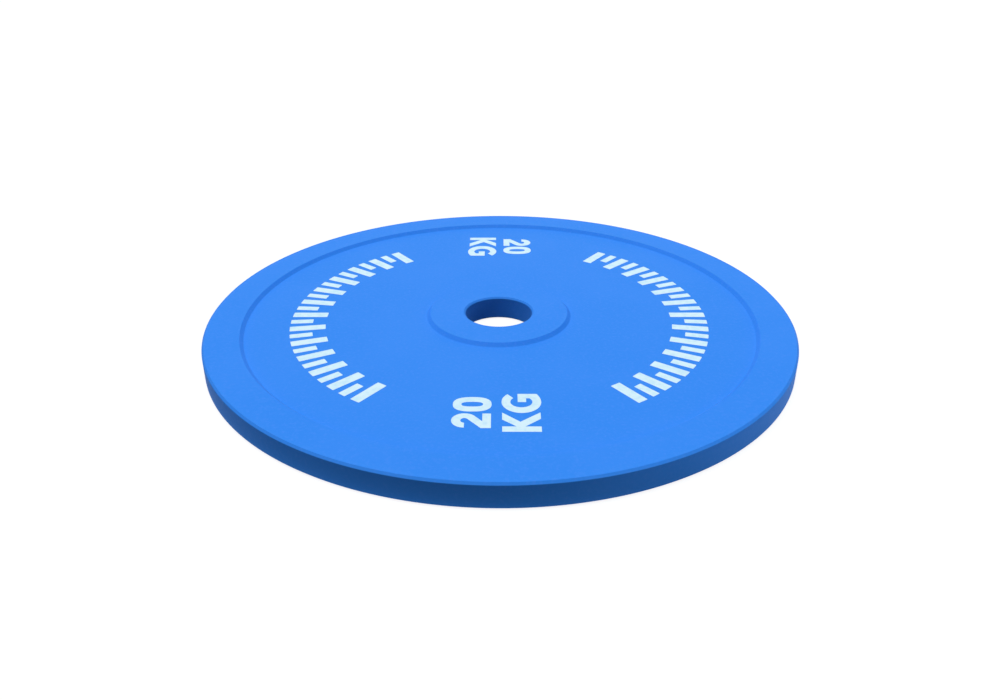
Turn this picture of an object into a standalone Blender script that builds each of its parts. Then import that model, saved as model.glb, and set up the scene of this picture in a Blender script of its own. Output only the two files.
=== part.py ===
"""A 20 kg calibrated powerlifting plate, lying on its back.

Metres, +Z up. The origin is on the bore's axis, at the level of the faces that the plate lies on.
The plate is one turned steel disc. Its front has a raised rim and hub round a recessed web, and its
back has the same two lands round a shallow relief. Two pockets in the back hold what trims the plate
to its exact weight: a stack of shims under a screw plug with a hexagon socket and a sealing ring.
"""

import math

import bmesh
import bpy

# The disc
PLATE_DIAMETER = 0.450
PLATE_THICKNESS = 0.0186
EDGE_CHAMFER = 0.0015
BORE_DIAMETER = 0.0520
BORE_CHAMFER = 0.0013

# The front: a rim and a hub with sloping steps down to the web
RIM_WIDTH = 0.0270
HUB_DIAMETER = 0.1070
WEB_RECESS = 0.0027
STEP_RUN = 0.0027
LIP_RADIUS = 0.0006
FOOT_RADIUS = 0.0010

# The back: the same lands, round a shallow relief
BACK_RIM_WIDTH = 0.0290
BACK_HUB_DIAMETER = 0.1100
BACK_RELIEF = 0.0006
BACK_STEP_RUN = 0.0012

# The calibration pockets, on opposite sides of the bore
POCKET_COUNT = 2
POCKET_CIRCLE_RADIUS = 0.1250
POCKET_MOUTH_CHAMFER = 0.0005
THREAD_DIAMETER = 0.0260

# The screw plug, its socket and its sealing ring
COLLAR_DIAMETER = 0.0332
COLLAR_THICKNESS = 0.0024
COLLAR_CHAMFER = 0.0005
COLLAR_SUNK = 0.0004
SHANK_LENGTH = 0.0046
SHANK_CHAMFER = 0.0007
SOCKET_ACROSS_FLATS = 0.0120
SOCKET_DEPTH = 0.0050
SOCKET_CHAMFER = 0.0004
DIMPLE_DIAMETER = 0.0036
DIMPLE_DEPTH = 0.0010
SEAL_SECTION = 0.0012

# The shims, from the plug inwards, and their play in the thread
SHIM_PLAY = 0.0005
SHIM_THICKNESSES = (0.0006, 0.0009, 0.0012)
SHIM_EDGE = 0.00015

# Gap between seated pieces, and how far a cutter passes through the face it cuts
SEAT_GAP = 0.0003
CUT_PASS = 0.0010

# Facets
DISC_SEGMENTS = 144
POCKET_SEGMENTS = 48
SEAL_SEGMENTS = 40
SEAL_SECTION_SEGMENTS = 8
FILLET_STEPS = 2

# Sizes that follow from those above
PLATE_RADIUS = PLATE_DIAMETER / 2
BORE_RADIUS = BORE_DIAMETER / 2
RIM_INNER_RADIUS = PLATE_RADIUS - RIM_WIDTH
HUB_RADIUS = HUB_DIAMETER / 2
WEB_LEVEL = PLATE_THICKNESS - WEB_RECESS
BACK_RIM_INNER_RADIUS = PLATE_RADIUS - BACK_RIM_WIDTH
BACK_HUB_RADIUS = BACK_HUB_DIAMETER / 2
THREAD_RADIUS = THREAD_DIAMETER / 2
SHANK_RADIUS = THREAD_RADIUS - SEAT_GAP
COLLAR_RADIUS = COLLAR_DIAMETER / 2
COUNTERBORE_RADIUS = COLLAR_RADIUS + SEAT_GAP
COUNTERBORE_DEPTH = COLLAR_SUNK + COLLAR_THICKNESS + SEAT_GAP
SEAL_RADIUS = SEAL_SECTION / 2
SEAL_RING_RADIUS = SHANK_RADIUS + SEAT_GAP + SEAL_RADIUS
SHIM_RADIUS = THREAD_RADIUS - SHIM_PLAY
SHIM_STACK = sum(SHIM_THICKNESSES) + SEAT_GAP * (len(SHIM_THICKNESSES) + 1)
PLUG_TIP_LEVEL = BACK_RELIEF + COLLAR_SUNK + COLLAR_THICKNESS + SHANK_LENGTH
POCKET_FLOOR_LEVEL = PLUG_TIP_LEVEL + SHIM_STACK
# The pocket's cone clears the ring, which sits in the corner of collar and shank, by the seat gap.
SEAL_SEAT_CONE = SEAL_SECTION + (SEAL_RADIUS + SEAT_GAP) * math.sqrt(2)

# Colours are linear, as Blender's colour sockets hold them
ENAMEL_BLUE = (0.050, 0.266, 0.930, 1.0)
ZINC_GREY = (0.560, 0.570, 0.580, 1.0)
SEAL_BLACK = (0.020, 0.020, 0.022, 1.0)
SHIM_GREY = (0.300, 0.310, 0.330, 1.0)


def clear_scene():
    """Removes whatever the startup file holds."""
    for obj in list(bpy.data.objects):
        bpy.data.objects.remove(obj)


def new_collection(name):
    """A new collection in the scene."""
    collection = bpy.data.collections.new(name)
    bpy.context.scene.collection.children.link(collection)
    return collection


def new_material(name, colour, roughness, metallic):
    """A Principled BSDF material."""
    material = bpy.data.materials.new(name)
    material.use_nodes = True
    shader = material.node_tree.nodes["Principled BSDF"]
    shader.inputs["Base Color"].default_value = colour
    shader.inputs["Roughness"].default_value = roughness
    shader.inputs["Metallic"].default_value = metallic
    return material


def rounded_outline(corners):
    """Points of a closed outline. A corner is (radius from the axis, height, fillet radius)."""
    points = []
    for i, (x, z, fillet) in enumerate(corners):
        before = corners[i - 1]
        after = corners[(i + 1) % len(corners)]
        to_before = (before[0] - x, before[1] - z)
        to_after = (after[0] - x, after[1] - z)
        length_before = math.hypot(*to_before)
        length_after = math.hypot(*to_after)
        if fillet == 0:
            points.append((x, z))
            continue
        along_before = (to_before[0] / length_before, to_before[1] / length_before)
        along_after = (to_after[0] / length_after, to_after[1] / length_after)
        cosine = along_before[0] * along_after[0] + along_before[1] * along_after[1]
        half_angle = math.acos(max(-1.0, min(1.0, cosine))) / 2
        # A fillet takes at most two fifths of the shorter side it rounds into.
        reach = min(fillet / math.tan(half_angle), 0.4 * min(length_before, length_after))
        radius = reach * math.tan(half_angle)
        middle = (along_before[0] + along_after[0], along_before[1] + along_after[1])
        to_centre = radius / math.sin(half_angle) / math.hypot(*middle)
        centre = (x + middle[0] * to_centre, z + middle[1] * to_centre)
        start = (x + along_before[0] * reach, z + along_before[1] * reach)
        end = (x + along_after[0] * reach, z + along_after[1] * reach)
        start_angle = math.atan2(start[1] - centre[1], start[0] - centre[0])
        end_angle = math.atan2(end[1] - centre[1], end[0] - centre[0])
        turn = (end_angle - start_angle + math.pi) % (2 * math.pi) - math.pi
        for step in range(FILLET_STEPS + 1):
            angle = start_angle + turn * step / FILLET_STEPS
            points.append((centre[0] + radius * math.cos(angle), centre[1] + radius * math.sin(angle)))
    return points


def turned(name, collection, outline, segments, closed, material=None):
    """A turned piece: an outline of (radius, height) points, spun about Z by a Screw modifier.

    A closed outline makes a ring. An open one starts and ends on the axis.
    """
    mesh = bpy.data.meshes.new(name)
    edges = [(i, i + 1) for i in range(len(outline) - 1)]
    if closed:
        edges.append((len(outline) - 1, 0))
    mesh.from_pydata([(x, 0.0, z) for x, z in outline], edges, [])
    obj = bpy.data.objects.new(name, mesh)
    collection.objects.link(obj)
    spin = obj.modifiers.new("spin", "SCREW")
    spin.axis = "Z"
    spin.angle = 2 * math.pi
    spin.screw_offset = 0.0
    spin.steps = segments
    spin.render_steps = segments
    spin.use_merge_vertices = True
    spin.merge_threshold = 0.00001
    spin.use_smooth_shade = False
    if material:
        mesh.materials.append(material)
    return obj


def mark_as_cutter(obj):
    """Keeps a cutter out of the model."""
    obj.hide_render = True
    obj.display_type = "WIRE"
    return obj


def cut(obj, cutter):
    """Cuts one object from another with a Boolean modifier."""
    boolean = obj.modifiers.new("cut " + cutter.name, "BOOLEAN")
    boolean.operation = "DIFFERENCE"
    boolean.solver = "EXACT"
    boolean.object = cutter


def pocket_place(index):
    """Where a pocket's axis meets the floor."""
    angle = 2 * math.pi * index / POCKET_COUNT
    return (POCKET_CIRCLE_RADIUS * math.cos(angle), POCKET_CIRCLE_RADIUS * math.sin(angle), 0.0)


def disc_outline():
    """The disc's section, down the outer edge, in along the back, up the bore and out along the front."""
    outer_edge = [
        (PLATE_RADIUS, PLATE_THICKNESS - EDGE_CHAMFER, 0),
        (PLATE_RADIUS, EDGE_CHAMFER, 0),
        (PLATE_RADIUS - EDGE_CHAMFER, 0.0, 0),
    ]
    back = [
        (BACK_RIM_INNER_RADIUS, 0.0, 0),
        (BACK_RIM_INNER_RADIUS - BACK_STEP_RUN, BACK_RELIEF, 0),
        (BACK_HUB_RADIUS + BACK_STEP_RUN, BACK_RELIEF, 0),
        (BACK_HUB_RADIUS, 0.0, 0),
    ]
    bore = [
        (BORE_RADIUS + BORE_CHAMFER, 0.0, 0),
        (BORE_RADIUS, BORE_CHAMFER, 0),
        (BORE_RADIUS, PLATE_THICKNESS - BORE_CHAMFER, 0),
        (BORE_RADIUS + BORE_CHAMFER, PLATE_THICKNESS, 0),
    ]
    front = [
        (HUB_RADIUS, PLATE_THICKNESS, LIP_RADIUS),
        (HUB_RADIUS + STEP_RUN, WEB_LEVEL, FOOT_RADIUS),
        (RIM_INNER_RADIUS - STEP_RUN, WEB_LEVEL, FOOT_RADIUS),
        (RIM_INNER_RADIUS, PLATE_THICKNESS, LIP_RADIUS),
        (PLATE_RADIUS - EDGE_CHAMFER, PLATE_THICKNESS, 0),
    ]
    return rounded_outline(outer_edge + back + bore + front)


def pocket_outline():
    """The pocket's section, from its floor down to below its mouth."""
    counterbore_floor = BACK_RELIEF + COUNTERBORE_DEPTH
    mouth_radius = COUNTERBORE_RADIUS + POCKET_MOUTH_CHAMFER
    return [
        (0.0, POCKET_FLOOR_LEVEL),
        (THREAD_RADIUS, POCKET_FLOOR_LEVEL),
        (THREAD_RADIUS, counterbore_floor + SEAL_SEAT_CONE),
        (THREAD_RADIUS + SEAL_SEAT_CONE, counterbore_floor),
        (COUNTERBORE_RADIUS, counterbore_floor),
        (COUNTERBORE_RADIUS, BACK_RELIEF + POCKET_MOUTH_CHAMFER),
        (mouth_radius, BACK_RELIEF),
        (mouth_radius, BACK_RELIEF - CUT_PASS),
        (0.0, BACK_RELIEF - CUT_PASS),
    ]


def build_plate_body(parts, cutters, enamel):
    """The turned disc, with its calibration pockets cut into the back."""
    body = turned("plate_body", parts, disc_outline(), DISC_SEGMENTS, True, enamel)
    for index in range(POCKET_COUNT):
        name = f"pocket_cutter_{index + 1}"
        pocket = turned(name, cutters, pocket_outline(), POCKET_SEGMENTS, False)
        pocket.location = pocket_place(index)
        cut(body, mark_as_cutter(pocket))
    return body


def plug_outline():
    """The plug's section, from the middle of its tip down to the middle of its collar's face."""
    face = BACK_RELIEF + COLLAR_SUNK
    shoulder = face + COLLAR_THICKNESS
    return [
        (0.0, PLUG_TIP_LEVEL),
        (SHANK_RADIUS - SHANK_CHAMFER, PLUG_TIP_LEVEL),
        (SHANK_RADIUS, PLUG_TIP_LEVEL - SHANK_CHAMFER),
        (SHANK_RADIUS, shoulder),
        (COLLAR_RADIUS, shoulder),
        (COLLAR_RADIUS, face + COLLAR_CHAMFER),
        (COLLAR_RADIUS - COLLAR_CHAMFER, face),
        (0.0, face),
    ]


def socket_cutter(cutters, name):
    """A hexagonal prism from below the plug's face to the socket's floor."""
    mesh = bpy.data.meshes.new(name)
    shape = bmesh.new()
    corner_radius = SOCKET_ACROSS_FLATS / 2 / math.cos(math.pi / 6)
    bmesh.ops.create_cone(
        shape,
        cap_ends=True,
        segments=6,
        radius1=corner_radius,
        radius2=corner_radius,
        depth=SOCKET_DEPTH + CUT_PASS,
    )
    shape.to_mesh(mesh)
    shape.free()
    obj = bpy.data.objects.new(name, mesh)
    cutters.objects.link(obj)
    return mark_as_cutter(obj)


def lead_in_outline():
    """The section of the lead-in cone at the socket's mouth and, above it, the dimple in its floor."""
    face = BACK_RELIEF + COLLAR_SUNK
    corner_radius = SOCKET_ACROSS_FLATS / 2 / math.cos(math.pi / 6)
    cone_radius = corner_radius + SOCKET_CHAMFER
    socket_floor = face + SOCKET_DEPTH
    return [
        (0.0, socket_floor + DIMPLE_DEPTH),
        (DIMPLE_DIAMETER / 2, socket_floor),
        (DIMPLE_DIAMETER / 2, face + cone_radius - DIMPLE_DIAMETER / 2),
        (cone_radius, face),
        (cone_radius + CUT_PASS, face - CUT_PASS),
        (0.0, face - CUT_PASS),
    ]


def build_plug(parts, cutters, index, zinc):
    """The screw plug that closes a pocket, with its hexagon socket facing down."""
    place = pocket_place(index)
    face = BACK_RELIEF + COLLAR_SUNK
    plug = turned(
        f"calibration_plug_{index + 1}", parts, plug_outline(), POCKET_SEGMENTS, False, zinc
    )
    plug.location = place
    socket = socket_cutter(cutters, f"socket_cutter_{index + 1}")
    socket.location = (place[0], place[1], face + (SOCKET_DEPTH - CUT_PASS) / 2)
    cut(plug, socket)
    lead_in = turned(
        f"lead_in_cutter_{index + 1}", cutters, lead_in_outline(), POCKET_SEGMENTS, False
    )
    lead_in.location = place
    cut(plug, mark_as_cutter(lead_in))
    return plug


def build_seal(parts, index, rubber):
    """The sealing ring under the plug's collar."""
    place = pocket_place(index)
    shoulder = BACK_RELIEF + COLLAR_SUNK + COLLAR_THICKNESS
    bpy.ops.mesh.primitive_torus_add(
        major_radius=SEAL_RING_RADIUS,
        minor_radius=SEAL_RADIUS,
        major_segments=SEAL_SEGMENTS,
        minor_segments=SEAL_SECTION_SEGMENTS,
        location=(place[0], place[1], shoulder + SEAT_GAP + SEAL_RADIUS),
    )
    seal = bpy.context.object
    seal.name = f"plug_seal_{index + 1}"
    seal.data.name = seal.name
    seal.data.materials.append(rubber)
    for collection in list(seal.users_collection):
        collection.objects.unlink(seal)
    parts.objects.link(seal)
    return seal


def build_shims(parts, index, shim_metal):
    """The stack of shims between the plug and the pocket's floor."""
    place = pocket_place(index)
    level = PLUG_TIP_LEVEL + SEAT_GAP
    for number, thickness in enumerate(SHIM_THICKNESSES):
        outline = [
            (0.0, thickness),
            (SHIM_RADIUS - SHIM_EDGE, thickness),
            (SHIM_RADIUS, thickness - SHIM_EDGE),
            (SHIM_RADIUS, SHIM_EDGE),
            (SHIM_RADIUS - SHIM_EDGE, 0.0),
            (0.0, 0.0),
        ]
        name = f"calibration_shim_{index + 1}_{number + 1}"
        shim = turned(name, parts, outline, POCKET_SEGMENTS, False, shim_metal)
        shim.location = (place[0], place[1], level)
        level += thickness + SEAT_GAP


def shade(parts):
    """Shades every turned face smooth, with sharp edges where the section turns."""
    for obj in parts.objects:
        obj.data.shade_smooth()
        obj.data.set_sharp_from_angle(angle=math.radians(30))


def main():
    """Builds the plate."""
    clear_scene()
    parts = new_collection("calibrated_plate")
    cutters = new_collection("cutters")
    enamel = new_material("blue_enamel", ENAMEL_BLUE, 0.42, 0.0)
    zinc = new_material("zinc_plate", ZINC_GREY, 0.35, 1.0)
    rubber = new_material("seal_rubber", SEAL_BLACK, 0.60, 0.0)
    shim_metal = new_material("shim_steel", SHIM_GREY, 0.50, 1.0)
    build_plate_body(parts, cutters, enamel)
    for index in range(POCKET_COUNT):
        build_plug(parts, cutters, index, zinc)
        build_seal(parts, index, rubber)
        build_shims(parts, index, shim_metal)
    shade(parts)


main()
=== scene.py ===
"""The looks of a 20 kg calibrated powerlifting plate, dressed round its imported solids.

Metres, in the frame of the solids: +Z up, the bore's axis through the origin, the back on the floor.
The plate lies with its printed front up. What trims its weight sits in two pockets in its back: a
screw plug with a sealing ring, over a stack of shims.
"""

import logging
import math
from dataclasses import dataclass
from enum import Enum
from typing import Any, Iterable, Optional, Union

import bmesh
import bpy
from mathutils import Matrix, Vector


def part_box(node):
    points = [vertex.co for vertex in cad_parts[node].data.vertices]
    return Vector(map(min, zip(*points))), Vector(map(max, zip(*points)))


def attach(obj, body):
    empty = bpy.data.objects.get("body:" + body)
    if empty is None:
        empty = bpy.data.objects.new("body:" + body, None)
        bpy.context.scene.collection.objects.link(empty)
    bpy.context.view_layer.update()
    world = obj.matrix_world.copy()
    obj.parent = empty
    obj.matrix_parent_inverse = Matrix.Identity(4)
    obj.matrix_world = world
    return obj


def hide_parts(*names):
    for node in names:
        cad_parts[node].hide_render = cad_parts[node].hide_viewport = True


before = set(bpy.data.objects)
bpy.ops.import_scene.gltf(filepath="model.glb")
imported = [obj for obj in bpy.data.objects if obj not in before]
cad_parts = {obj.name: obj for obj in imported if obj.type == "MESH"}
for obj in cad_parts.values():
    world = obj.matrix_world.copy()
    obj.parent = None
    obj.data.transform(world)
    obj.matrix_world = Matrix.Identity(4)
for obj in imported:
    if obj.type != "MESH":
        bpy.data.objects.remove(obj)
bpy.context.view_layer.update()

BODY = "root"
TURN = 2 * math.pi
# How close points are joined, and the most of a side that a fillet takes
WELD_REACH = 0.000002
FILLET_SHARE = 0.45

Owner = Union[bpy.types.Material, bpy.types.World]
Colour = tuple[float, float, float]
Triple = tuple[float, float, float]
Corner = tuple[float, float, float]
Point = tuple[float, float]
Outline = list[Point]
Glyph = tuple[float, list[Outline]]
Ring = list[Vector]

log = logging.getLogger("plate")


class Slot(Enum):
    """The record's material slots."""

    ENAMEL = "blue_enamel"
    INK = "white_ink"
    ZINC = "zinc_plate"
    RUBBER = "seal_rubber"
    SHIM = "shim_steel"


class Side(Enum):
    """Where a print lies: as it is drawn, or turned half round the bore, in degrees."""

    DRAWN = 0.0
    OPPOSITE = 180.0


class Value:
    """A number that varies over a surface: a node's output, with a plain number's operators."""

    def __init__(self, graph: "Graph", socket: bpy.types.NodeSocket) -> None:
        """Wraps a socket.

        Args:
            graph: the material's nodes.
            socket: the output that holds the number.
        """
        self.graph = graph
        self.socket = socket

    def __add__(self, other: "Number") -> "Value":
        """The sum."""
        return self.graph.maths("ADD", self, other)

    def __radd__(self, other: "Number") -> "Value":
        """The sum, with a plain number first."""
        return self.graph.maths("ADD", other, self)

    def __sub__(self, other: "Number") -> "Value":
        """The difference."""
        return self.graph.maths("SUBTRACT", self, other)

    def __mul__(self, other: "Number") -> "Value":
        """The product."""
        return self.graph.maths("MULTIPLY", self, other)

    def sine(self) -> "Value":
        """The sine of an angle in radians."""
        return self.graph.maths("SINE", self)

    def above(self, low: float, high: float) -> "Value":
        """A smooth step.

        Args:
            low: where the step leaves 0.
            high: where it reaches 1. It may be the smaller of the two.

        Returns:
            0 at low, 1 at high and a smooth rise between them.
        """
        limits = {"From Min": low, "From Max": high}
        settings = {"interpolation_type": "SMOOTHSTEP", "clamp": True}
        node = self.graph.node("ShaderNodeMapRange", settings, {"Value": self, **limits})
        return Value(self.graph, node.outputs["Result"])


Number = Union[Value, float]


class Graph:
    """The nodes of one material, or of the world."""

    def __init__(self, owner: Owner) -> None:
        """Starts with no nodes.

        Args:
            owner: the material or world that the nodes are for.
        """
        owner.use_nodes = True
        self.owner = owner
        self.tree = owner.node_tree
        self.tree.nodes.clear()

    def node(
        self, kind: str, settings: dict[str, Any], values: dict[Union[str, int], Any]
    ) -> bpy.types.Node:
        """Adds a node.

        Args:
            kind: the node's type.
            settings: its own properties, which are set first.
            values: what its inputs hold, by name or number: a link, a number or a colour.

        Returns:
            The new node.
        """
        node = self.tree.nodes.new(kind)
        for name, setting in settings.items():
            setattr(node, name, setting)
        for key, value in values.items():
            socket = node.inputs[key]
            if isinstance(value, Value):
                self.tree.links.new(value.socket, socket)
            elif isinstance(value, bpy.types.NodeSocket):
                self.tree.links.new(value, socket)
            elif socket.type == "RGBA" and len(value) == 3:
                socket.default_value = (*value, 1.0)
            else:
                socket.default_value = value
        return node

    def maths(self, operation: str, *terms: Number) -> Value:
        """A Math node on one or more numbers."""
        node = self.node("ShaderNodeMath", {"operation": operation}, dict(enumerate(terms)))
        return Value(self, node.outputs[0])

    def place(self) -> bpy.types.NodeSocket:
        """Where a point of the piece is, from the piece's own origin, in metres."""
        return self.node("ShaderNodeTexCoord", {}, {}).outputs["Object"]

    def along(self, axis: str) -> Value:
        """One of the three coordinates of a point, by the letter of its axis."""
        node = self.node("ShaderNodeSeparateXYZ", {}, {0: self.place()})
        return Value(self, node.outputs[axis])

    def radius(self, reach: float = 0.0) -> Value:
        """How far a point is from an upright axis.

        Args:
            reach: how far the axis is from the piece's own origin, along X to the point's side.

        Returns:
            The distance, in metres.
        """
        x, y = self.maths("ABSOLUTE", self.along("X")) - reach, self.along("Y")
        return self.maths("SQRT", x * x + y * y)

    def stretched(self, scale: Triple) -> bpy.types.NodeSocket:
        """The place of a point, scaled along each axis by its own factor.

        Args:
            scale: the factors along X, Y and Z.

        Returns:
            The scaled place's socket.
        """
        settings = {"operation": "MULTIPLY"}
        node = self.node("ShaderNodeVectorMath", settings, {0: self.place(), 1: scale})
        return node.outputs[0]

    def noise(
        self, size: float, detail: float = 2.0, place: Optional[bpy.types.NodeSocket] = None
    ) -> Value:
        """Soft noise.

        Args:
            size: the width of its patches, in metres.
            detail: how many finer layers it has.
            place: the place it is read at, if it isn't the point's own.

        Returns:
            The noise, from 0 to 1 with 0.5 as its mean.
        """
        values = {"Vector": place or self.place(), "Scale": 1 / size, "Detail": detail}
        return Value(self, self.node("ShaderNodeTexNoise", {}, values).outputs[0])

    def specks(self, size: float) -> Value:
        """How far a point is from the nearest of scattered specks.

        Args:
            size: the mean distance between specks, in metres.

        Returns:
            The distance, as a share of size.
        """
        values = {"Vector": self.place(), "Scale": 1 / size}
        return Value(self, self.node("ShaderNodeTexVoronoi", {}, values).outputs["Distance"])

    def blend(self, share: Number, low: Any, high: Any) -> bpy.types.NodeSocket:
        """Mixes two colours.

        Args:
            share: how much of the second colour is in the mix.
            low: the first colour, as a link or as three numbers.
            high: the second colour.

        Returns:
            The mixed colour's socket.
        """
        settings = {"data_type": "RGBA", "clamp_factor": True}
        return self.node("ShaderNodeMix", settings, {0: share, 6: low, 7: high}).outputs[2]

    def mixed(self, share: Number, low: bpy.types.Node, high: bpy.types.Node) -> bpy.types.Node:
        """Mixes two shaders, with share as how much of the second is in the mix."""
        values = {0: share, 1: low.outputs[0], 2: high.outputs[0]}
        return self.node("ShaderNodeMixShader", {}, values)

    def bump(self, height: Value, depth: float, below: Optional[Any] = None) -> Any:
        """Turns a height into a bent normal.

        Args:
            height: the height, where 1 stands for depth.
            depth: the height of 1, in metres.
            below: the normal that it adds to, if it isn't the surface's own.

        Returns:
            The normal's socket.
        """
        values = {"Height": height, "Distance": depth, "Strength": 1.0}
        if below is not None:
            values["Normal"] = below
        return self.node("ShaderNodeBump", {}, values).outputs["Normal"]

    def surface(self, shader: bpy.types.NodeSocket) -> Owner:
        """Ends the graph with its shader.

        Args:
            shader: the shader's output.

        Returns:
            The finished material or world.
        """
        is_world = isinstance(self.owner, bpy.types.World)
        kind = "ShaderNodeOutputWorld" if is_world else "ShaderNodeOutputMaterial"
        self.node(kind, {}, {"Surface": shader})
        return self.owner

    def principled(self, **values: Any) -> Owner:
        """Ends the graph with a Principled BSDF.

        Args:
            values: its inputs, with underscores for the blanks in their names.

        Returns:
            The finished material.
        """
        inputs = {name.replace("_", " "): value for name, value in values.items()}
        return self.surface(self.node("ShaderNodeBsdfPrincipled", {}, inputs).outputs[0])


@dataclass(frozen=True)
class BlueEnamel:
    """Satin stoving enamel over turned steel."""

    colour: Colour = (0.037, 0.261, 0.926)
    deep_colour: Colour = (0.033, 0.256, 0.915)
    fleck: Colour = (0.048, 0.268, 0.934)
    patch: float = 0.055
    patch_edge: Point = (0.35, 0.65)
    grain: float = 0.0022
    grain_edge: Point = (0.45, 0.75)
    peel: float = 0.0016
    peel_depth: float = 0.000006
    turning_pitch: float = 0.0011
    turning_depth: float = 0.0000012
    nib_spacing: float = 0.011
    nib_size: float = 0.035
    nib_depth: float = 0.000018
    roughness: float = 0.56
    unevenness: float = 0.04
    gloss: float = 0.075

    def material(self) -> bpy.types.Material:
        """The enamel: faint patches and flecks, orange peel, the tool's rings and a few dust nibs.

        Returns:
            The enamel's material.
        """
        graph = Graph(bpy.data.materials.new("blue_enamel"))
        patches = graph.noise(self.patch, 3.0)
        colour = graph.blend(patches.above(*self.patch_edge), self.colour, self.deep_colour)
        flecks = graph.noise(self.grain, 3.0).above(*self.grain_edge)
        colour = graph.blend(flecks, colour, self.fleck)
        peel = graph.noise(self.peel, 1.0)
        rings = (graph.radius() * (TURN / self.turning_pitch)).sine()
        nibs = graph.specks(self.nib_spacing).above(self.nib_size, 0.0)
        normal = graph.bump(rings, self.turning_depth)
        normal = graph.bump(peel, self.peel_depth, normal)
        normal = graph.bump(nibs, self.nib_depth, normal)
        roughness = self.roughness + (patches + peel) * self.unevenness
        return graph.principled(
            Base_Color=colour, Roughness=roughness, Normal=normal, Specular_IOR_Level=self.gloss
        )


@dataclass(frozen=True)
class WhiteInk:
    """Screen-printed ink, thin enough for a little of the blue below to show."""

    colour: Colour = (0.666, 0.880, 0.985)
    thin_colour: Colour = (0.550, 0.810, 0.965)
    patch: float = 0.0045
    patch_edge: Point = (0.40, 0.72)
    weave: float = 0.0007
    weave_depth: float = 0.000004
    roughness: float = 0.50
    unevenness: float = 0.08
    gloss: float = 0.25

    def material(self) -> bpy.types.Material:
        """The ink: a cloudy film with the grain that the screen leaves.

        Returns:
            The ink's material.
        """
        graph = Graph(bpy.data.materials.new("white_ink"))
        cover = graph.noise(self.patch, 3.0)
        grain = graph.noise(self.weave, 1.0)
        colour = graph.blend(cover.above(*self.patch_edge), self.colour, self.thin_colour)
        normal = graph.bump(grain, self.weave_depth)
        roughness = self.roughness + cover * self.unevenness
        return graph.principled(
            Base_Color=colour, Roughness=roughness, Normal=normal, Specular_IOR_Level=self.gloss
        )


@dataclass(frozen=True)
class TurnedMetal:
    """Metal with the fine rings that a turning tool leaves, at reach from the piece's Z axis."""

    name: str
    colour: Colour
    tint: Colour
    roughness: float
    reach: float = 0.0
    patch: float = 0.004
    patch_edge: Point = (0.35, 0.70)
    pitch: float = 0.00016
    depth: float = 0.000003
    unevenness: float = 0.22

    def material(self) -> bpy.types.Material:
        """The metal: clouds of tint, rings, and handling marks in its gloss.

        Returns:
            The metal's material.
        """
        graph = Graph(bpy.data.materials.new(self.name))
        clouds = graph.noise(self.patch, 4.0)
        scuffs = graph.noise(self.patch / 6, 3.0)
        rings = (graph.radius(self.reach) * (TURN / self.pitch)).sine()
        colour = graph.blend(clouds.above(*self.patch_edge), self.colour, self.tint)
        normal = graph.bump(rings * scuffs, self.depth)
        roughness = self.roughness + (scuffs - 0.5) * self.unevenness
        return graph.principled(
            Base_Color=colour, Roughness=roughness, Metallic=1.0, Normal=normal
        )


@dataclass(frozen=True)
class RolledSheet:
    """Bare steel sheet, with the grain of the rolls along X."""

    colour: Colour = (0.300, 0.310, 0.330)
    oily: Colour = (0.225, 0.225, 0.235)
    stain: float = 0.006
    stain_edge: Point = (0.45, 0.75)
    grain: float = 0.00025
    run: float = 0.012
    depth: float = 0.000003
    roughness: float = 0.42
    unevenness: float = 0.30

    def material(self) -> bpy.types.Material:
        """The sheet: drawn-out grain, and darker clouds where oil has dried.

        Returns:
            The sheet's material.
        """
        graph = Graph(bpy.data.materials.new("shim_steel"))
        drawn = graph.stretched((self.grain / self.run, 1.0, 1.0))
        grain = graph.noise(self.grain, 2.0, drawn)
        stain = graph.noise(self.stain, 3.0).above(*self.stain_edge)
        colour = graph.blend(stain, self.colour, self.oily)
        roughness = self.roughness + (grain - 0.5) * self.unevenness
        return graph.principled(
            Base_Color=colour, Roughness=roughness, Metallic=1.0, Normal=graph.bump(grain, self.depth)
        )


@dataclass(frozen=True)
class NitrileRubber:
    """Moulded black rubber with a little talc on it."""

    colour: Colour = (0.018, 0.018, 0.020)
    dusty: Colour = (0.055, 0.055, 0.058)
    talc: float = 0.003
    talc_edge: Point = (0.50, 0.80)
    grain: float = 0.0004
    depth: float = 0.000006
    roughness: float = 0.55
    unevenness: float = 0.15

    def material(self) -> bpy.types.Material:
        """The rubber: fine grain, and paler clouds of talc.

        Returns:
            The rubber's material.
        """
        graph = Graph(bpy.data.materials.new("seal_rubber"))
        talc = graph.noise(self.talc, 4.0)
        grain = graph.noise(self.grain, 2.0)
        colour = graph.blend(talc.above(*self.talc_edge), self.colour, self.dusty)
        roughness = self.roughness + talc * self.unevenness
        return graph.principled(
            Base_Color=colour, Roughness=roughness, Normal=graph.bump(grain, self.depth)
        )


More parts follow.
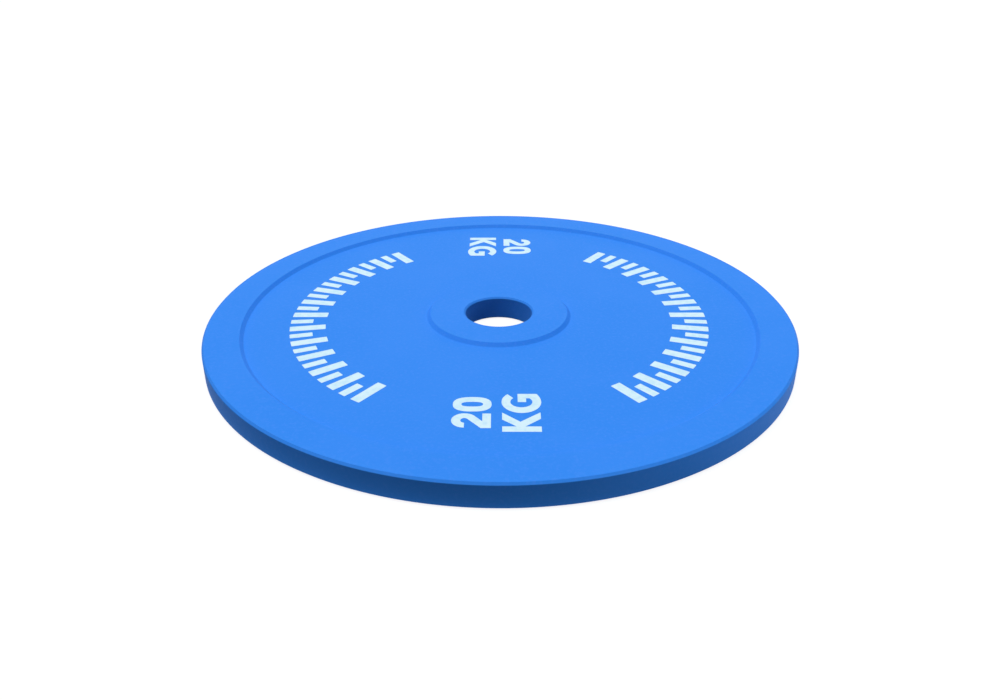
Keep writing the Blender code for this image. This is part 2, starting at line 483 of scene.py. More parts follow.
@dataclass(frozen=True)
class WhiteFloor:
    """A floor that the camera sees as white, and that glows a little for other rays: a painted glow
    in place of light thrown back up.
    """

    glow: float = 0.90
    shade: float = 0.14
    dim_glow: float = 0.05
    bright_glow: float = 0.74
    ramp: Point = (-0.05, 0.30)
    strip: Point = (0.228, 0.245)
    near_share: float = 0.45

    def material(self) -> bpy.types.Material:
        """White with the object's shadow for the rays that show it, and dim for other rays.

        For other rays it is a painted glow that no lamp drives, in place of the light that a floor
        throws back up.
        The room is brighter to the right, so the glow rises along X, and a strip beside the plate
        glows more than the floor round that.

        Returns:
            The floor's material.
        """
        graph = Graph(bpy.data.materials.new("floor"))
        white, dim, bright = (
            graph.node("ShaderNodeEmission", {}, {"Color": (1.0, 1.0, 1.0), "Strength": level})
            for level in (self.glow, self.dim_glow, self.bright_glow)
        )
        shadowed = graph.node("ShaderNodeBsdfDiffuse", {}, {"Color": (self.shade,) * 3})
        seen = graph.node("ShaderNodeAddShader", {}, {0: white.outputs[0], 1: shadowed.outputs[0]})
        inner, outer = self.strip
        radius = graph.radius()
        near = radius.above(outer, inner) * radius.above(inner / 2, inner) * self.near_share
        share = graph.maths("MAXIMUM", graph.along("X").above(*self.ramp), near)
        # Painted glow: emission in place of floor bounce, brighter along X and in a strip beside the
        # plate
        painted_glow = graph.mixed(share, dim, bright)
        floor = graph.surface(graph.mixed(watched(graph), painted_glow, seen).outputs[0])
        floor.cycles.emission_sampling = "NONE"
        return floor


def watched(graph: Graph) -> Value:
    """1 for the rays that show a thing: the camera's, and those in gloss and through glass.

    Args:
        graph: the nodes that it is for.

    Returns:
        1 for those rays, and 0 for the rest.
    """
    path = graph.node("ShaderNodeLightPath", {}, {})
    camera, gloss, glass = (
        Value(graph, path.outputs[name])
        for name in ("Is Camera Ray", "Is Glossy Ray", "Is Transmission Ray")
    )
    return graph.maths("MAXIMUM", camera, graph.maths("MAXIMUM", gloss, glass))


def arc(centre: Point, radii: Point, start: float, end: float, steps: int) -> Outline:
    """Points along part of an ellipse.

    Args:
        centre: the ellipse's centre.
        radii: its half width and half height.
        start: the first point's angle, in degrees.
        end: the last point's angle.
        steps: the number of runs between points.

    Returns:
        The points, both ends included.
    """
    angles = [math.radians(start + (end - start) * step / steps) for step in range(steps + 1)]
    return [
        (centre[0] + radii[0] * math.cos(angle), centre[1] + radii[1] * math.sin(angle))
        for angle in angles
    ]


def squircle(centre: Point, radii: Point, power: float, steps: int) -> Outline:
    """Points of a closed oval that is squarer than an ellipse.

    Args:
        centre: the oval's centre.
        radii: its half width and half height.
        power: 2 for an ellipse, and more for a squarer oval.
        steps: the number of points.

    Returns:
        The points, anticlockwise.
    """
    points = []
    for step in range(steps):
        angle = TURN * step / steps
        cosine, sine = math.cos(angle), math.sin(angle)
        across = math.copysign(abs(cosine) ** (2 / power), cosine)
        up = math.copysign(abs(sine) ** (2 / power), sine)
        points.append((centre[0] + radii[0] * across, centre[1] + radii[1] * up))
    return points


def rounded(corners: list[Corner], steps: int, closed: bool = True) -> Outline:
    """An outline with its corners rounded.

    Args:
        corners: each corner as (first coordinate, second coordinate, fillet radius).
        steps: the number of runs in a fillet.
        closed: whether the last corner is joined to the first.

    Returns:
        The outline's points.
    """
    points: Outline = []
    last = len(corners) - 1
    for i, (x, z, fillet) in enumerate(corners):
        if fillet == 0 or (not closed and i in (0, last)):
            points.append((x, z))
            continue
        here = Vector((x, z))
        back = Vector(corners[i - 1][:2]) - here
        ahead = Vector(corners[(i + 1) % len(corners)][:2]) - here
        half_angle = back.angle(ahead) / 2
        reach = min(fillet / math.tan(half_angle), FILLET_SHARE * min(back.length, ahead.length))
        radius = reach * math.tan(half_angle)
        middle = (back.normalized() + ahead.normalized()).normalized()
        centre = here + middle * (radius / math.sin(half_angle))
        start = here + back.normalized() * reach - centre
        end = here + ahead.normalized() * reach - centre
        first = math.degrees(math.atan2(start.y, start.x))
        turn = math.degrees(math.atan2(start.x * end.y - start.y * end.x, start.dot(end)))
        points += arc(tuple(centre), (radius, radius), first, first + turn, steps)
    return points


def circle(radius: float, height: float, segments: int) -> Ring:
    """A level ring of points, or the one point that a radius of 0 gives.

    Args:
        radius: the ring's radius.
        height: its height.
        segments: the number of its points.

    Returns:
        The points, anticlockwise from +X.
    """
    if radius == 0:
        return [Vector((0.0, 0.0, height))]
    angles = [TURN * i / segments for i in range(segments)]
    return [Vector((radius * math.cos(a), radius * math.sin(a), height)) for a in angles]


def skin(name: str, rings: list[Ring], closed: bool) -> bpy.types.Object:
    """A mesh stretched over a row of rings.

    Args:
        name: the object's name.
        rings: rings of equally many points. A ring of one point is a pole.
        closed: whether the last ring joins the first.

    Returns:
        The new object, with its faces pointing out.
    """
    shape = bmesh.new()
    rows = [[shape.verts.new(point) for point in ring] for ring in rings]
    pairs = list(zip(rows, rows[1:]))
    if closed:
        pairs.append((rows[-1], rows[0]))
    for lower, upper in pairs:
        count = max(len(lower), len(upper))
        for i in range(count):
            j = (i + 1) % count
            corners = [lower[i % len(lower)], lower[j % len(lower)]]
            corners += [upper[j % len(upper)], upper[i % len(upper)]]
            shape.faces.new(list(dict.fromkeys(corners)))
    bmesh.ops.recalc_face_normals(shape, faces=shape.faces)
    mesh = bpy.data.meshes.new(name)
    shape.to_mesh(mesh)
    shape.free()
    piece = bpy.data.objects.new(name, mesh)
    bpy.context.scene.collection.objects.link(piece)
    return piece


def turned(name: str, outline: Outline, segments: int, closed: bool) -> bpy.types.Object:
    """A turned piece: an outline of (radius, height) points, spun about Z."""
    return skin(name, [circle(r, z, segments) for r, z in outline], closed)


def weld(mesh: bpy.types.Mesh) -> None:
    """Joins the points of a mesh that lie on each other, drops slivers, and points its faces out.

    Args:
        mesh: the mesh, which is changed in place.
    """
    shape = bmesh.new()
    shape.from_mesh(mesh)
    bmesh.ops.remove_doubles(shape, verts=shape.verts, dist=WELD_REACH)
    bmesh.ops.dissolve_degenerate(shape, edges=shape.edges, dist=WELD_REACH)
    bmesh.ops.recalc_face_normals(shape, faces=shape.faces)
    shape.to_mesh(mesh)
    shape.free()


def carve(piece: bpy.types.Object, cutter: bpy.types.Object) -> None:
    """Cuts one object from another, and removes the cutter.

    Args:
        piece: the object that is cut. Faces that the cut leaves take the cutter's material.
        cutter: the object that it loses.
    """
    cut = piece.modifiers.new("cut", "BOOLEAN")
    cut.operation = "DIFFERENCE"
    cut.solver = "EXACT"
    cut.material_mode = "TRANSFER"
    cut.object = cutter
    settle(piece)
    weld(piece.data)
    bpy.data.objects.remove(cutter)


def settle(piece: bpy.types.Object) -> None:
    """Turns a piece and its modifiers into one plain mesh.

    Args:
        piece: the object, whose modifiers are dropped.
    """
    bpy.context.view_layer.update()
    evaluated = piece.evaluated_get(bpy.context.evaluated_depsgraph_get())
    mesh = bpy.data.meshes.new_from_object(evaluated)
    piece.modifiers.clear()
    piece.data = mesh


def smooth(piece: bpy.types.Object, sharp_angle: float = 32.0) -> None:
    """Shades a piece smooth, with flats kept flat and sharp edges kept sharp.

    Args:
        piece: the object.
        sharp_angle: the angle from which an edge is sharp, in degrees.
    """
    piece.data.shade_smooth()
    piece.data.set_sharp_from_angle(angle=math.radians(sharp_angle))
    weights = piece.modifiers.new("flats", "WEIGHTED_NORMAL")
    weights.keep_sharp = True


def dress(piece: bpy.types.Object, finish: bpy.types.Material) -> None:
    """Gives a piece one material."""
    piece.data.materials.clear()
    piece.data.materials.append(finish)


def mount(piece: bpy.types.Object, slot: Slot, *nodes: str) -> None:
    """Ties a finished piece to the frame.

    Args:
        piece: the piece, in its place.
        slot: the record's material slot that its finish belongs to; not used.
        nodes: the solids that it stands for.
    """
    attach(piece, BODY)
    if nodes:
        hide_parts(*nodes)
    log.info("%s: %d faces", piece.name, len(piece.data.polygons))


@dataclass
class Pocket:
    """A calibration pocket: a plug, its ring and its shims, round the axis of the plug's solid."""

    number: int
    segments: int = 128
    thread_radius: float = 0.0130
    thread_pitch: float = 0.0015
    thread_height: float = 0.00075
    thread_play: float = 0.00005
    thread_root: float = 0.12
    thread_flank: float = 0.70
    thread_rows: int = 56
    undercut: float = 0.0008
    collar_radius: float = 0.0166
    collar_thickness: float = 0.0024
    collar_edge: float = 0.0005
    collar_round: float = 0.0002
    collar_sunk: float = 0.0004
    socket_across_flats: float = 0.0120
    socket_depth: float = 0.0050
    socket_corner: float = 0.0005
    socket_lead_in: float = 0.0004
    dimple_radius: float = 0.0018
    dimple_depth: float = 0.0010
    gap: float = 0.0003
    mouth_edge: float = 0.0005
    mouth_round: float = 0.0006
    floor_round: float = 0.0003
    ledge_round: float = 0.0002
    fillet_steps: int = 4
    seal_section: float = 0.0012
    seal_steps: int = 24
    seal_lip: float = 0.00004
    seal_sharp_angle: float = 60.0
    shim_edge: float = 0.00015
    shim_burr: float = 0.00003
    pass_through: float = 0.0010

    def __post_init__(self) -> None:
        """Takes the pocket's place and levels from its solids."""
        low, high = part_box(self.plug_node)
        self.x = (low.x + high.x) / 2
        self.y = (low.y + high.y) / 2
        self.face = low.z
        self.tip = high.z
        self.shoulder = self.face + self.collar_thickness
        self.shims = [name for name in sorted(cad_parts) if name.startswith(self.shim_prefix)]
        self.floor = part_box(self.shims[-1])[1].z + self.gap
        self.relief = self.face - self.collar_sunk

    @property
    def plug_node(self) -> str:
        """The plug's node."""
        return f"calibration_plug_{self.number}"

    @property
    def seal_node(self) -> str:
        """The ring's node."""
        return f"plug_seal_{self.number}"

    @property
    def shim_prefix(self) -> str:
        """What the names of this pocket's shims start with."""
        return f"calibration_shim_{self.number}_"

    def set_down(self, piece: bpy.types.Object) -> bpy.types.Object:
        """Moves a piece made about the origin's axis to the pocket's axis."""
        piece.location = (self.x, self.y, 0.0)
        return piece

    def cutter(self, bare: bpy.types.Material) -> bpy.types.Object:
        """What the pocket takes out of the disc.

        Args:
            bare: the material of the machined walls.

        Returns:
            The cutter, in place, from the pocket's floor to below its mouth.
        """
        counterbore = self.collar_radius + self.gap
        ledge = self.shoulder + self.gap
        seal = self.seal_section + (self.seal_section / 2 + self.gap) * math.sqrt(2)
        mouth = counterbore + self.mouth_edge
        outline = rounded(
            [
                (0.0, self.floor, 0.0),
                (self.thread_radius, self.floor, self.floor_round),
                (self.thread_radius, ledge + seal, 0.0),
                (self.thread_radius + seal, ledge, 0.0),
                (counterbore, ledge, self.ledge_round),
                (counterbore, self.relief + self.mouth_edge, self.mouth_round),
                (mouth + self.pass_through, self.relief - self.pass_through, 0.0),
                (0.0, self.relief - self.pass_through, 0.0),
            ],
            self.fillet_steps,
            closed=False,
        )
        tool = turned(f"pocket_tool_{self.number}", outline, self.segments, False)
        dress(tool, bare)
        return self.set_down(tool)

    def thread(self, angle: float, height: float) -> float:
        """The shank's radius on its thread.

        Args:
            angle: the angle round the axis, in radians.
            height: the height, in metres.

        Returns:
            The radius, which runs out to the root near the collar and the tip.
        """
        crest = self.thread_radius - self.thread_play
        phase = (height / self.thread_pitch - angle / TURN) % 1.0
        flank = 1 - abs(2 * phase - 1)
        ridge = min(max((flank - self.thread_root) / self.thread_flank, 0.0), 1.0)
        start = (height - self.shoulder - self.undercut) / (self.thread_pitch / 2)
        end = (self.tip - height) / (self.thread_pitch / 2)
        runout = min(max(min(start, end), 0.0), 1.0)
        return crest - self.thread_height * (1 - ridge * runout)

    def shank(self) -> list[Ring]:
        """The threaded shank's rings, from the tip down to the collar.

        Returns:
            The rings, in order.
        """
        rings = []
        for row in range(self.thread_rows + 1):
            height = self.tip - (self.tip - self.shoulder) * row / self.thread_rows
            chamfer = min(self.tip - height, self.thread_height) - self.thread_height
            ring = []
            for i in range(self.segments):
                angle = TURN * i / self.segments
                radius = self.thread(angle, height) + chamfer
                ring.append(Vector((radius * math.cos(angle), radius * math.sin(angle), height)))
            rings.append(ring)
        return rings

    def plug(self, finish: bpy.types.Material) -> None:
        """The screw plug: a threaded shank and a chamfered collar with a hexagon socket.

        Args:
            finish: the plug's material.
        """
        collar = rounded(
            [
                (self.thread_radius - self.thread_height, self.shoulder, 0.0),
                (self.collar_radius, self.shoulder, self.collar_round),
                (self.collar_radius, self.face + self.collar_edge, self.collar_round),
                (self.collar_radius - self.collar_edge, self.face, self.collar_round),
                (0.0, self.face, 0.0),
            ],
            self.fillet_steps,
            closed=False,
        )
        rings = [circle(0.0, self.tip, self.segments)]
        rings += self.shank()
        rings += [circle(r, z, self.segments) for r, z in collar[1:]]
        plug = self.set_down(skin(f"screw_plug_{self.number}", rings, False))
        dress(plug, finish)
        carve(plug, self.socket_tool(finish))
        carve(plug, self.lead_in_tool(finish))
        smooth(plug)
        mount(plug, Slot.ZINC, self.plug_node)

    def socket_tool(self, finish: bpy.types.Material) -> bpy.types.Object:
        """The hexagonal prism that the socket is cut with, with its corners rounded.

        Args:
            finish: the material that the cut's walls take.

        Returns:
            The prism, in place.
        """
        reach = self.socket_across_flats / 2 / math.cos(math.pi / 6)
        corners = [
            (x, y, self.socket_corner) for x, y in arc((0.0, 0.0), (reach, reach), 0, 300, 5)
        ]
        outline = rounded(corners, self.fillet_steps)
        levels = (self.face - self.pass_through, self.face + self.socket_depth)
        rings = [[Vector((x, y, z)) for x, y in outline] for z in levels]
        poles = [[Vector((0.0, 0.0, z))] for z in levels]
        tool = skin(f"socket_tool_{self.number}", [poles[0], *rings, poles[1]], False)
        dress(tool, finish)
        return self.set_down(tool)

    def lead_in_tool(self, finish: bpy.types.Material) -> bpy.types.Object:
        """The cone at the socket's mouth and the drill's dimple in its floor.

        Args:
            finish: the material that the cut's walls take.

        Returns:
            The tool that cuts both, in place.
        """
        reach = self.socket_across_flats / 2 / math.cos(math.pi / 6) + self.socket_lead_in
        bottom = self.face + self.socket_depth
        outline = [
            (0.0, bottom + self.dimple_depth),
            (self.dimple_radius, bottom),
            (self.dimple_radius, self.face + reach - self.dimple_radius),
            (reach + self.pass_through, self.face - self.pass_through),
            (0.0, self.face - self.pass_through),
        ]
        tool = turned(f"lead_in_tool_{self.number}", outline, self.segments, False)
        dress(tool, finish)
        return self.set_down(tool)

    def seal(self, finish: bpy.types.Material) -> None:
        """The sealing ring, with the fine lip that its mould leaves round it.

        Args:
            finish: the ring's material.
        """
        low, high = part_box(self.seal_node)
        section = (high.z - low.z) / 2
        ring_radius = (high.x - low.x) / 2 - section
        middle = (low.z + high.z) / 2
        last = 360 - 360 / self.seal_steps
        oval = arc((0.0, 0.0), (section - self.seal_lip, section), 0, last, self.seal_steps - 1)
        outline = [(ring_radius + x, middle + z) for x, z in oval]
        for i, lip in ((0, self.seal_lip), (self.seal_steps // 2, -self.seal_lip)):
            outline[i] = (outline[i][0] + lip, outline[i][1])
        ring = self.set_down(turned(f"sealing_ring_{self.number}", outline, self.segments, True))
        dress(ring, finish)
        smooth(ring, self.seal_sharp_angle)
        mount(ring, Slot.RUBBER, self.seal_node)

    def shim(self, node: str, finish: bpy.types.Material) -> None:
        """One shim: rolled over at the punch's side, with a fine burr at the other.

        Args:
            node: the shim's node.
            finish: its material.
        """
        low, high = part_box(node)
        radius = (high.x - low.x) / 2
        burr = self.shim_burr
        outline = [(0.0, high.z - burr), (radius - 2 * self.shim_edge, high.z - burr)]
        outline += [(radius - burr, high.z), (radius, high.z - burr)]
        edge = (radius - self.shim_edge, low.z + self.shim_edge)
        outline += arc(edge, (self.shim_edge, self.shim_edge), 0, -90, 5)
        outline.append((0.0, low.z))
        name = node.replace("calibration_shim", "trim_shim")
        shim = self.set_down(turned(name, outline, self.segments, False))
        dress(shim, finish)
        smooth(shim)
        mount(shim, Slot.SHIM, node)

    def build(self, zinc: TurnedMetal, rubber: NitrileRubber, sheet: RolledSheet) -> None:
        """Makes everything that the pocket holds.

        Args:
            zinc: the plug's finish.
            rubber: the ring's finish.
            sheet: the shims' finish.
        """
        self.plug(shared(zinc))
        self.seal(shared(rubber))
        for node in self.shims:
            self.shim(node, shared(sheet))


@dataclass
class Disc:
    """The plate's turned steel disc, enamelled all over."""

    segments: int = 432
    fillet_steps: int = 6
    edge_chamfer: float = 0.0015
    edge_round: float = 0.0005
    bore_radius: float = 0.0260
    bore_chamfer: float = 0.0013
    bore_round: float = 0.0004
    rim_width: float = 0.0270
    hub_radius: float = 0.0535
    web_recess: float = 0.0027
    step_run: float = 0.0027
    lip_round: float = 0.0005
    foot_round: float = 0.0009
    back_rim_width: float = 0.0290
    back_hub_radius: float = 0.0550
    back_relief: float = 0.0006
    back_step_run: float = 0.0012
    back_round: float = 0.0008

    def __post_init__(self) -> None:
        """Takes the disc's radius and thickness from its solid."""
        low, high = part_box("plate_body")
        self.radius = (high.x - low.x) / 2
        self.thickness = high.z - low.z
        self.web = self.thickness - self.web_recess

    def outline(self) -> Outline:
        """The section: down the outer edge, in along the back, up the bore and out along the front.

        Returns:
            The section's points, as (radius, height).
        """
        top, edge, bore = self.thickness, self.edge_chamfer, self.bore_chamfer
        rim, back_rim = self.radius - self.rim_width, self.radius - self.back_rim_width
        corners = [
            (self.radius, top - edge, self.edge_round),
            (self.radius, edge, self.edge_round),
            (self.radius - edge, 0.0, self.edge_round),
            (back_rim, 0.0, self.back_round),
            (back_rim - self.back_step_run, self.back_relief, self.back_round),
            (self.back_hub_radius + self.back_step_run, self.back_relief, self.back_round),
            (self.back_hub_radius, 0.0, self.back_round),
            (self.bore_radius + bore, 0.0, self.bore_round),
            (self.bore_radius, bore, self.bore_round),
            (self.bore_radius, top - bore, self.bore_round),
            (self.bore_radius + bore, top, self.bore_round),
            (self.hub_radius, top, self.lip_round),
            (self.hub_radius + self.step_run, self.web, self.foot_round),
            (rim - self.step_run, self.web, self.foot_round),
            (rim, top, self.lip_round),
            (self.radius - edge, top, self.edge_round),
        ]
        return rounded(corners, self.fillet_steps)

    def build(self, pockets: Iterable[Pocket], enamel: BlueEnamel, bare: TurnedMetal) -> None:
        """Makes the disc, with a pocket cut in its back for each plug.

        Args:
            pockets: the pockets.
            enamel: the disc's finish.
            bare: the finish of the machined walls in the pockets.
        """
        disc = turned("enamelled_disc", self.outline(), self.segments, True)
        dress(disc, shared(enamel))
        for pocket in pockets:
            carve(disc, pocket.cutter(shared(bare)))
        smooth(disc)
        mount(disc, Slot.ENAMEL, "plate_body")


@dataclass
class Print:
    """What is common to the white prints on the web: an ink film, turned and shifted as printed."""

    web: float
    film: float = 0.00006
    sunk: float = 0.00005
    turn: float = 0.0
    shift: Point = (0.0, 0.0)

    def film_piece(self, name: str, outlines: list[Outline], side: Side) -> bpy.types.Object:
        """A film of ink with the given outlines.

        Args:
            name: the piece's name.
            outlines: closed outlines, where one inside another is a hole.
            side: the side of the bore that the film is turned to.

        Returns:
            The film as a closed mesh, lying on the web.
        """
        curve = bpy.data.curves.new(name, "CURVE")
        curve.dimensions = "2D"
        curve.fill_mode = "BOTH"
        curve.extrude = (self.film + self.sunk) / 2
        for outline in outlines:
            spline = curve.splines.new("POLY")
            spline.points.add(len(outline) - 1)
            for point, (x, y) in zip(spline.points, outline):
                point.co = (x, y, 0.0, 1.0)
            spline.use_cyclic_u = True
        drawn = bpy.data.objects.new(name + "_outline", curve)
        bpy.context.scene.collection.objects.link(drawn)
        bpy.context.view_layer.update()
        evaluated = drawn.evaluated_get(bpy.context.evaluated_depsgraph_get())
        mesh = bpy.data.meshes.new_from_object(evaluated)
        bpy.data.objects.remove(drawn)
        weld(mesh)
        turn = Matrix.Rotation(math.radians(self.turn + side.value), 4, "Z")
        lift = Matrix.Translation((*self.shift, self.web + (self.film - self.sunk) / 2))
        mesh.transform(lift @ turn)
        piece = bpy.data.objects.new(name, mesh)
        bpy.context.scene.collection.objects.link(piece)
        return piece


@dataclass
class WeightMark(Print):
    """The weight, in heavy upright characters in two lines, read from beside the plate."""

    cap_height: float = 0.0246
    stem: float = 0.0060
    bar: float = 0.0055
    overshoot: float = 0.0003
    line_pitch: float = 0.0317
    digit_gap: float = 0.0025
    letter_gap: float = -0.0007
    centre_radius: float = 0.1456
    off_centre: float = -0.0014
    shift: Point = (-0.0002, 0.0003)

    def two(self) -> Glyph:
        """The width and outlines of a 2.

        Returns:
            Its width, and its outlines with the left foot at the origin.
        """
        width, spread, join, heel, inset = 0.0170, 50.0, 0.0078, 0.0064, 0.0002
        bowl = (0.0089, 0.0169)
        outer = (width / 2 - inset, self.cap_height + 2 * self.overshoot - bowl[1])
        inner = (outer[0] - self.bar, outer[1] - self.bar - self.overshoot)
        outline = [(0.0, 0.0), (width, 0.0), (width, self.bar), (join, self.bar)]
        outline += arc(bowl, outer, -spread, 180, 32)
        outline += arc(bowl, inner, 180, -spread, 20)
        outline.append((0.0, heel))
        return width, [outline]

    def zero(self) -> Glyph:
        """The width and outlines of a 0.

        Returns:
            Its width, and its outlines with the left foot at the origin.
        """
        width, outer_power, inner_power = 0.0179, 2.5, 2.6
        centre = (width / 2, self.cap_height / 2)
        outer = (width / 2, self.cap_height / 2 + self.overshoot)
        inner = (outer[0] - self.stem, outer[1] - self.bar)
        return width, [
            squircle(centre, outer, outer_power, 72),
            squircle(centre, inner, inner_power, 56),
        ]

    def k(self) -> Glyph:
        """The width and outline of a K.

        Returns:
            Its width, and its outlines with the left foot at the origin.
        """
        width, inset, top = 0.0226, 0.0003, self.cap_height
        arm, leg, crotch = 0.0140, 0.0150, (0.0114, 0.0131)
        low, high = 0.0101, 0.0155
        outline = [(0.0, 0.0), (self.stem, 0.0), (self.stem, low), (leg, 0.0), (width, 0.0)]
        outline += [crotch, (width - inset, top), (arm, top), (self.stem, high)]
        outline += [(self.stem, top), (0.0, top)]
        return width, [outline]

    def g(self) -> Glyph:
        """The width and outline of a G.

        Returns:
            Its width, and its outlines with the left foot at the origin.
        """
        width, bar_top, bar_left, sag = 0.0237, 0.0143, 0.0134, 0.0010
        half_width, foot_reach, swell = 0.0136, 0.0165, (0.0008, 0.0002)
        upper_lip, lower_lip = 44, 46
        outer = (half_width, (self.cap_height + self.overshoot + sag) / 2)
        centre = (outer[0], outer[1] - sag)
        inner = (outer[0] - self.stem - swell[0], outer[1] - self.bar - swell[1])
        foot = (foot_reach, outer[1])
        inside = width - self.bar
        turn_in = math.degrees(math.acos((inside - centre[0]) / inner[0]))
        turn_out = math.degrees(math.acos((width - centre[0]) / foot[0]))
        outline = arc(centre, outer, upper_lip, 270, 44)
        outline += arc(centre, foot, 270, 360 - turn_out, 12)[1:]
        outline += [(width, bar_top), (bar_left, bar_top), (bar_left, bar_top - self.bar)]
        outline.append((inside, bar_top - self.bar))
        outline += arc(centre, inner, -turn_in, lower_lip - 360, 40)
        return width, [outline]

    def line(self, glyphs: list[Glyph], gap: float, baseline: float) -> list[Outline]:
        """A centred line of characters.

        Args:
            glyphs: the characters, in reading order.
            gap: the space between them.
            baseline: the height of the line's foot above the mark's centre.

        Returns:
            The line's outlines, with the mark's centre at the origin and its letters upright.
        """
        width = sum(glyph[0] for glyph in glyphs) + gap * (len(glyphs) - 1)
        at = -width / 2
        outlines = []
        for glyph_width, glyph_outlines in glyphs:
            outlines += [[(at + x, baseline + y) for x, y in o] for o in glyph_outlines]
            at += glyph_width + gap
        return outlines

    def build(self, name: str, side: Side, ink: WhiteInk) -> None:
        """Prints the mark.

        Args:
            name: the piece's name.
            side: the side of the bore that it lies on.
            ink: its finish.
        """
        foot = -(self.line_pitch + self.cap_height) / 2
        upright = self.line([self.two(), self.zero()], self.digit_gap, foot + self.line_pitch)
        upright += self.line([self.k(), self.g()], self.letter_gap, foot)
        middle = (self.off_centre, -self.centre_radius)
        outlines = [[(middle[0] - y, middle[1] + x) for x, y in o] for o in upright]
        mark = self.film_piece(name, outlines, side)
        dress(mark, shared(ink))
        mount(mark, Slot.INK)


@dataclass
class ScaleMarks(Print):
    """An arc of plain bars like those round a dial, long and short in turn."""

    inner_radius: float = 0.1340
    short_radius: float = 0.1440
    outer_radius: float = 0.1610
    half_angle: float = 54.0
    long_bars: int = 13
    long_width: float = 0.0078
    short_width: float = 0.0063
    corner: float = 0.0005
    shift: Point = (-0.0003, -0.0012)

    def bar(self, inner: float, width: float, angle: float) -> Outline:
        """One bar.

        Args:
            inner: the radius of its inner end.
            width: its width.
            angle: where it stands, in degrees from +X.

        Returns:
            Its outline, with its corners rounded.
        """
        half = width / 2
        corners = [
            (inner, -half, self.corner),
            (self.outer_radius, -half, self.corner),
            (self.outer_radius, half, self.corner),
            (inner, half, self.corner),
        ]
        turn = Matrix.Rotation(math.radians(angle), 2)
        return [tuple(turn @ Vector(point)) for point in rounded(corners, 3)]

    def build(self, name: str, side: Side, ink: WhiteInk) -> None:
        """Prints the arc.

        Args:
            name: the piece's name.
            side: the side of the bore that it lies on.
            ink: its finish.
        """
        count = 2 * self.long_bars - 1
        outlines = []
        for i in range(count):
            angle = self.half_angle * (2 * i / (count - 1) - 1)
            if i % 2:
                outlines.append(self.bar(self.short_radius, self.short_width, angle))
            else:
                outlines.append(self.bar(self.inner_radius, self.long_width, angle))
        marks = self.film_piece(name, outlines, side)
        dress(marks, shared(ink))
        mount(marks, Slot.INK)


_materials: dict[Any, bpy.types.Material] = {}


def shared(finish: Any) -> bpy.types.Material:
    """The one material of a finish, made the first time that it is asked for.

    Args:
        finish: the finish.

    Returns:
        Its material.
    """
    if finish not in _materials:
        _materials[finish] = finish.material()
    return _materials[finish]


@dataclass(frozen=True)
class Lamp:
    """A broad, even light from far away.

    Attributes:
        name: the lamp's name.
        towards: the way to the lamp.
        spread: how wide it looks from the object, in degrees.
        level: the share of a level white surface's full brightness that it gives.
    """

    name: str
    towards: Triple
    spread: float
    level: float

    def build(self) -> None:
        """Hangs the lamp."""
        way = Vector(self.towards).normalized()
        lamp = bpy.data.lights.new(self.name, "SUN")
        lamp.angle = math.radians(self.spread)
        lamp.energy = self.level * math.pi / way.z
        holder = bpy.data.objects.new(self.name, lamp)
        holder.rotation_euler = way.to_track_quat("Z", "Y").to_euler()
        bpy.context.scene.collection.objects.link(holder)


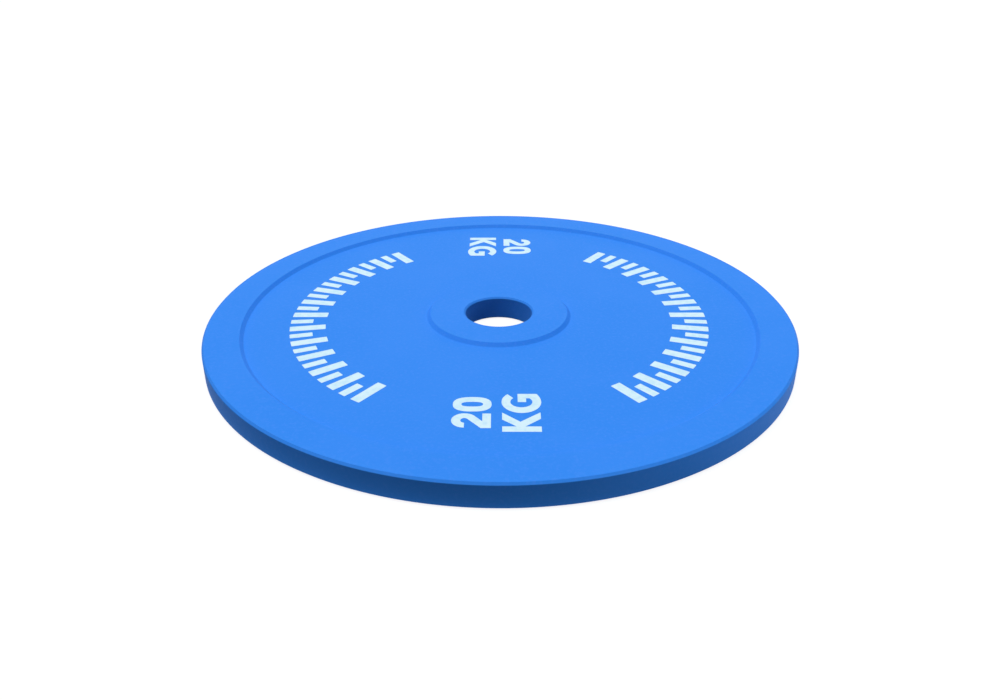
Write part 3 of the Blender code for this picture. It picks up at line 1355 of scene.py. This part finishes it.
@dataclass
class Studio:
    """The camera, the floor, the lamps and the world."""

    focal_length: float = 0.031853
    sensor_width: float = 0.036
    shift: float = 0.0147
    eye: Triple = (-0.0012, -0.6280, 0.3169)
    pitch: float = 27.924
    yaw: float = -0.872
    roll: float = -0.389
    floor_size: float = 6.0
    floor_gap: float = 0.0002
    lamps: tuple[Lamp, ...] = (
        Lamp("key", (0.0, 0.0, 1.0), 26.0, 0.645),
        Lamp("back_fill", (0.0, 0.883, 0.469), 50.0, 0.05),
        Lamp("left_fill", (-0.8, -0.15, 1.0), 44.0, 0.175),
        Lamp("right_fill", (0.990, -0.139, 0.213), 24.0, 0.015),
    )
    ambient: float = 0.09

    def camera(self) -> None:
        """The camera, where the photograph was taken from."""
        lens = bpy.data.cameras.new("camera")
        lens.sensor_fit = "HORIZONTAL"
        lens.sensor_width = self.sensor_width * 1000
        lens.lens = self.focal_length * 1000
        lens.shift_x = self.shift
        lens.clip_start = 0.01
        lens.clip_end = 100.0
        camera = bpy.data.objects.new("camera", lens)
        bpy.context.scene.collection.objects.link(camera)
        level = Matrix.Rotation(math.radians(90 - self.pitch), 4, "X")
        swing = Matrix.Rotation(math.radians(-self.yaw), 4, "Z")
        tilt = Matrix.Rotation(math.radians(self.roll), 4, "Z")
        camera.matrix_world = Matrix.Translation(self.eye) @ swing @ level @ tilt
        bpy.context.scene.camera = camera

    def floor(self, finish: WhiteFloor) -> None:
        """The floor, just under the plate.

        Args:
            finish: its finish.
        """
        half = self.floor_size / 2
        corners = [(-half, -half), (half, -half), (half, half), (-half, half)]
        mesh = bpy.data.meshes.new("floor")
        mesh.from_pydata([(x, y, -self.floor_gap) for x, y in corners], [], [(0, 1, 2, 3)])
        floor = bpy.data.objects.new("floor", mesh)
        bpy.context.scene.collection.objects.link(floor)
        dress(floor, shared(finish))

    def world(self) -> None:
        """White where it is looked at, and a dim even light on the object."""
        graph = Graph(bpy.data.worlds.new("studio"))
        dim, white = (
            graph.node("ShaderNodeBackground", {}, {"Color": (1.0, 1.0, 1.0), "Strength": level})
            for level in (self.ambient, 1.0)
        )
        mixed = graph.mixed(watched(graph), dim, white)
        bpy.context.scene.world = graph.surface(mixed.outputs[0])

    def build(self, floor: WhiteFloor) -> None:
        """Sets the studio up.

        Args:
            floor: the floor's finish.
        """
        bpy.context.scene.view_settings.view_transform = "Standard"
        self.camera()
        self.floor(floor)
        for lamp in self.lamps:
            lamp.build()
        self.world()


def main() -> None:
    """Builds the studio, the disc, what its pockets hold, and its prints."""
    logging.basicConfig(level=logging.INFO, format="%(message)s")
    Studio().build(WhiteFloor())
    pockets = [Pocket(1), Pocket(2)]
    zinc = TurnedMetal(
        name="zinc_plate",
        colour=(0.560, 0.570, 0.580),
        tint=(0.600, 0.585, 0.520),
        roughness=0.30,
    )
    bare = TurnedMetal(
        name="machined_steel",
        colour=(0.420, 0.415, 0.405),
        tint=(0.360, 0.350, 0.335),
        roughness=0.36,
        reach=pockets[0].x,
    )
    disc = Disc()
    disc.build(pockets, BlueEnamel(), bare)
    for pocket in pockets:
        pocket.build(zinc, NitrileRubber(), RolledSheet())
    ink = WhiteInk()
    WeightMark(disc.web).build("weight_mark_near", Side.DRAWN, ink)
    WeightMark(disc.web).build("weight_mark_far", Side.OPPOSITE, ink)
    ScaleMarks(disc.web).build("scale_marks_right", Side.DRAWN, ink)
    ScaleMarks(disc.web).build("scale_marks_left", Side.OPPOSITE, ink)


if __name__ == "__main__":
    main()
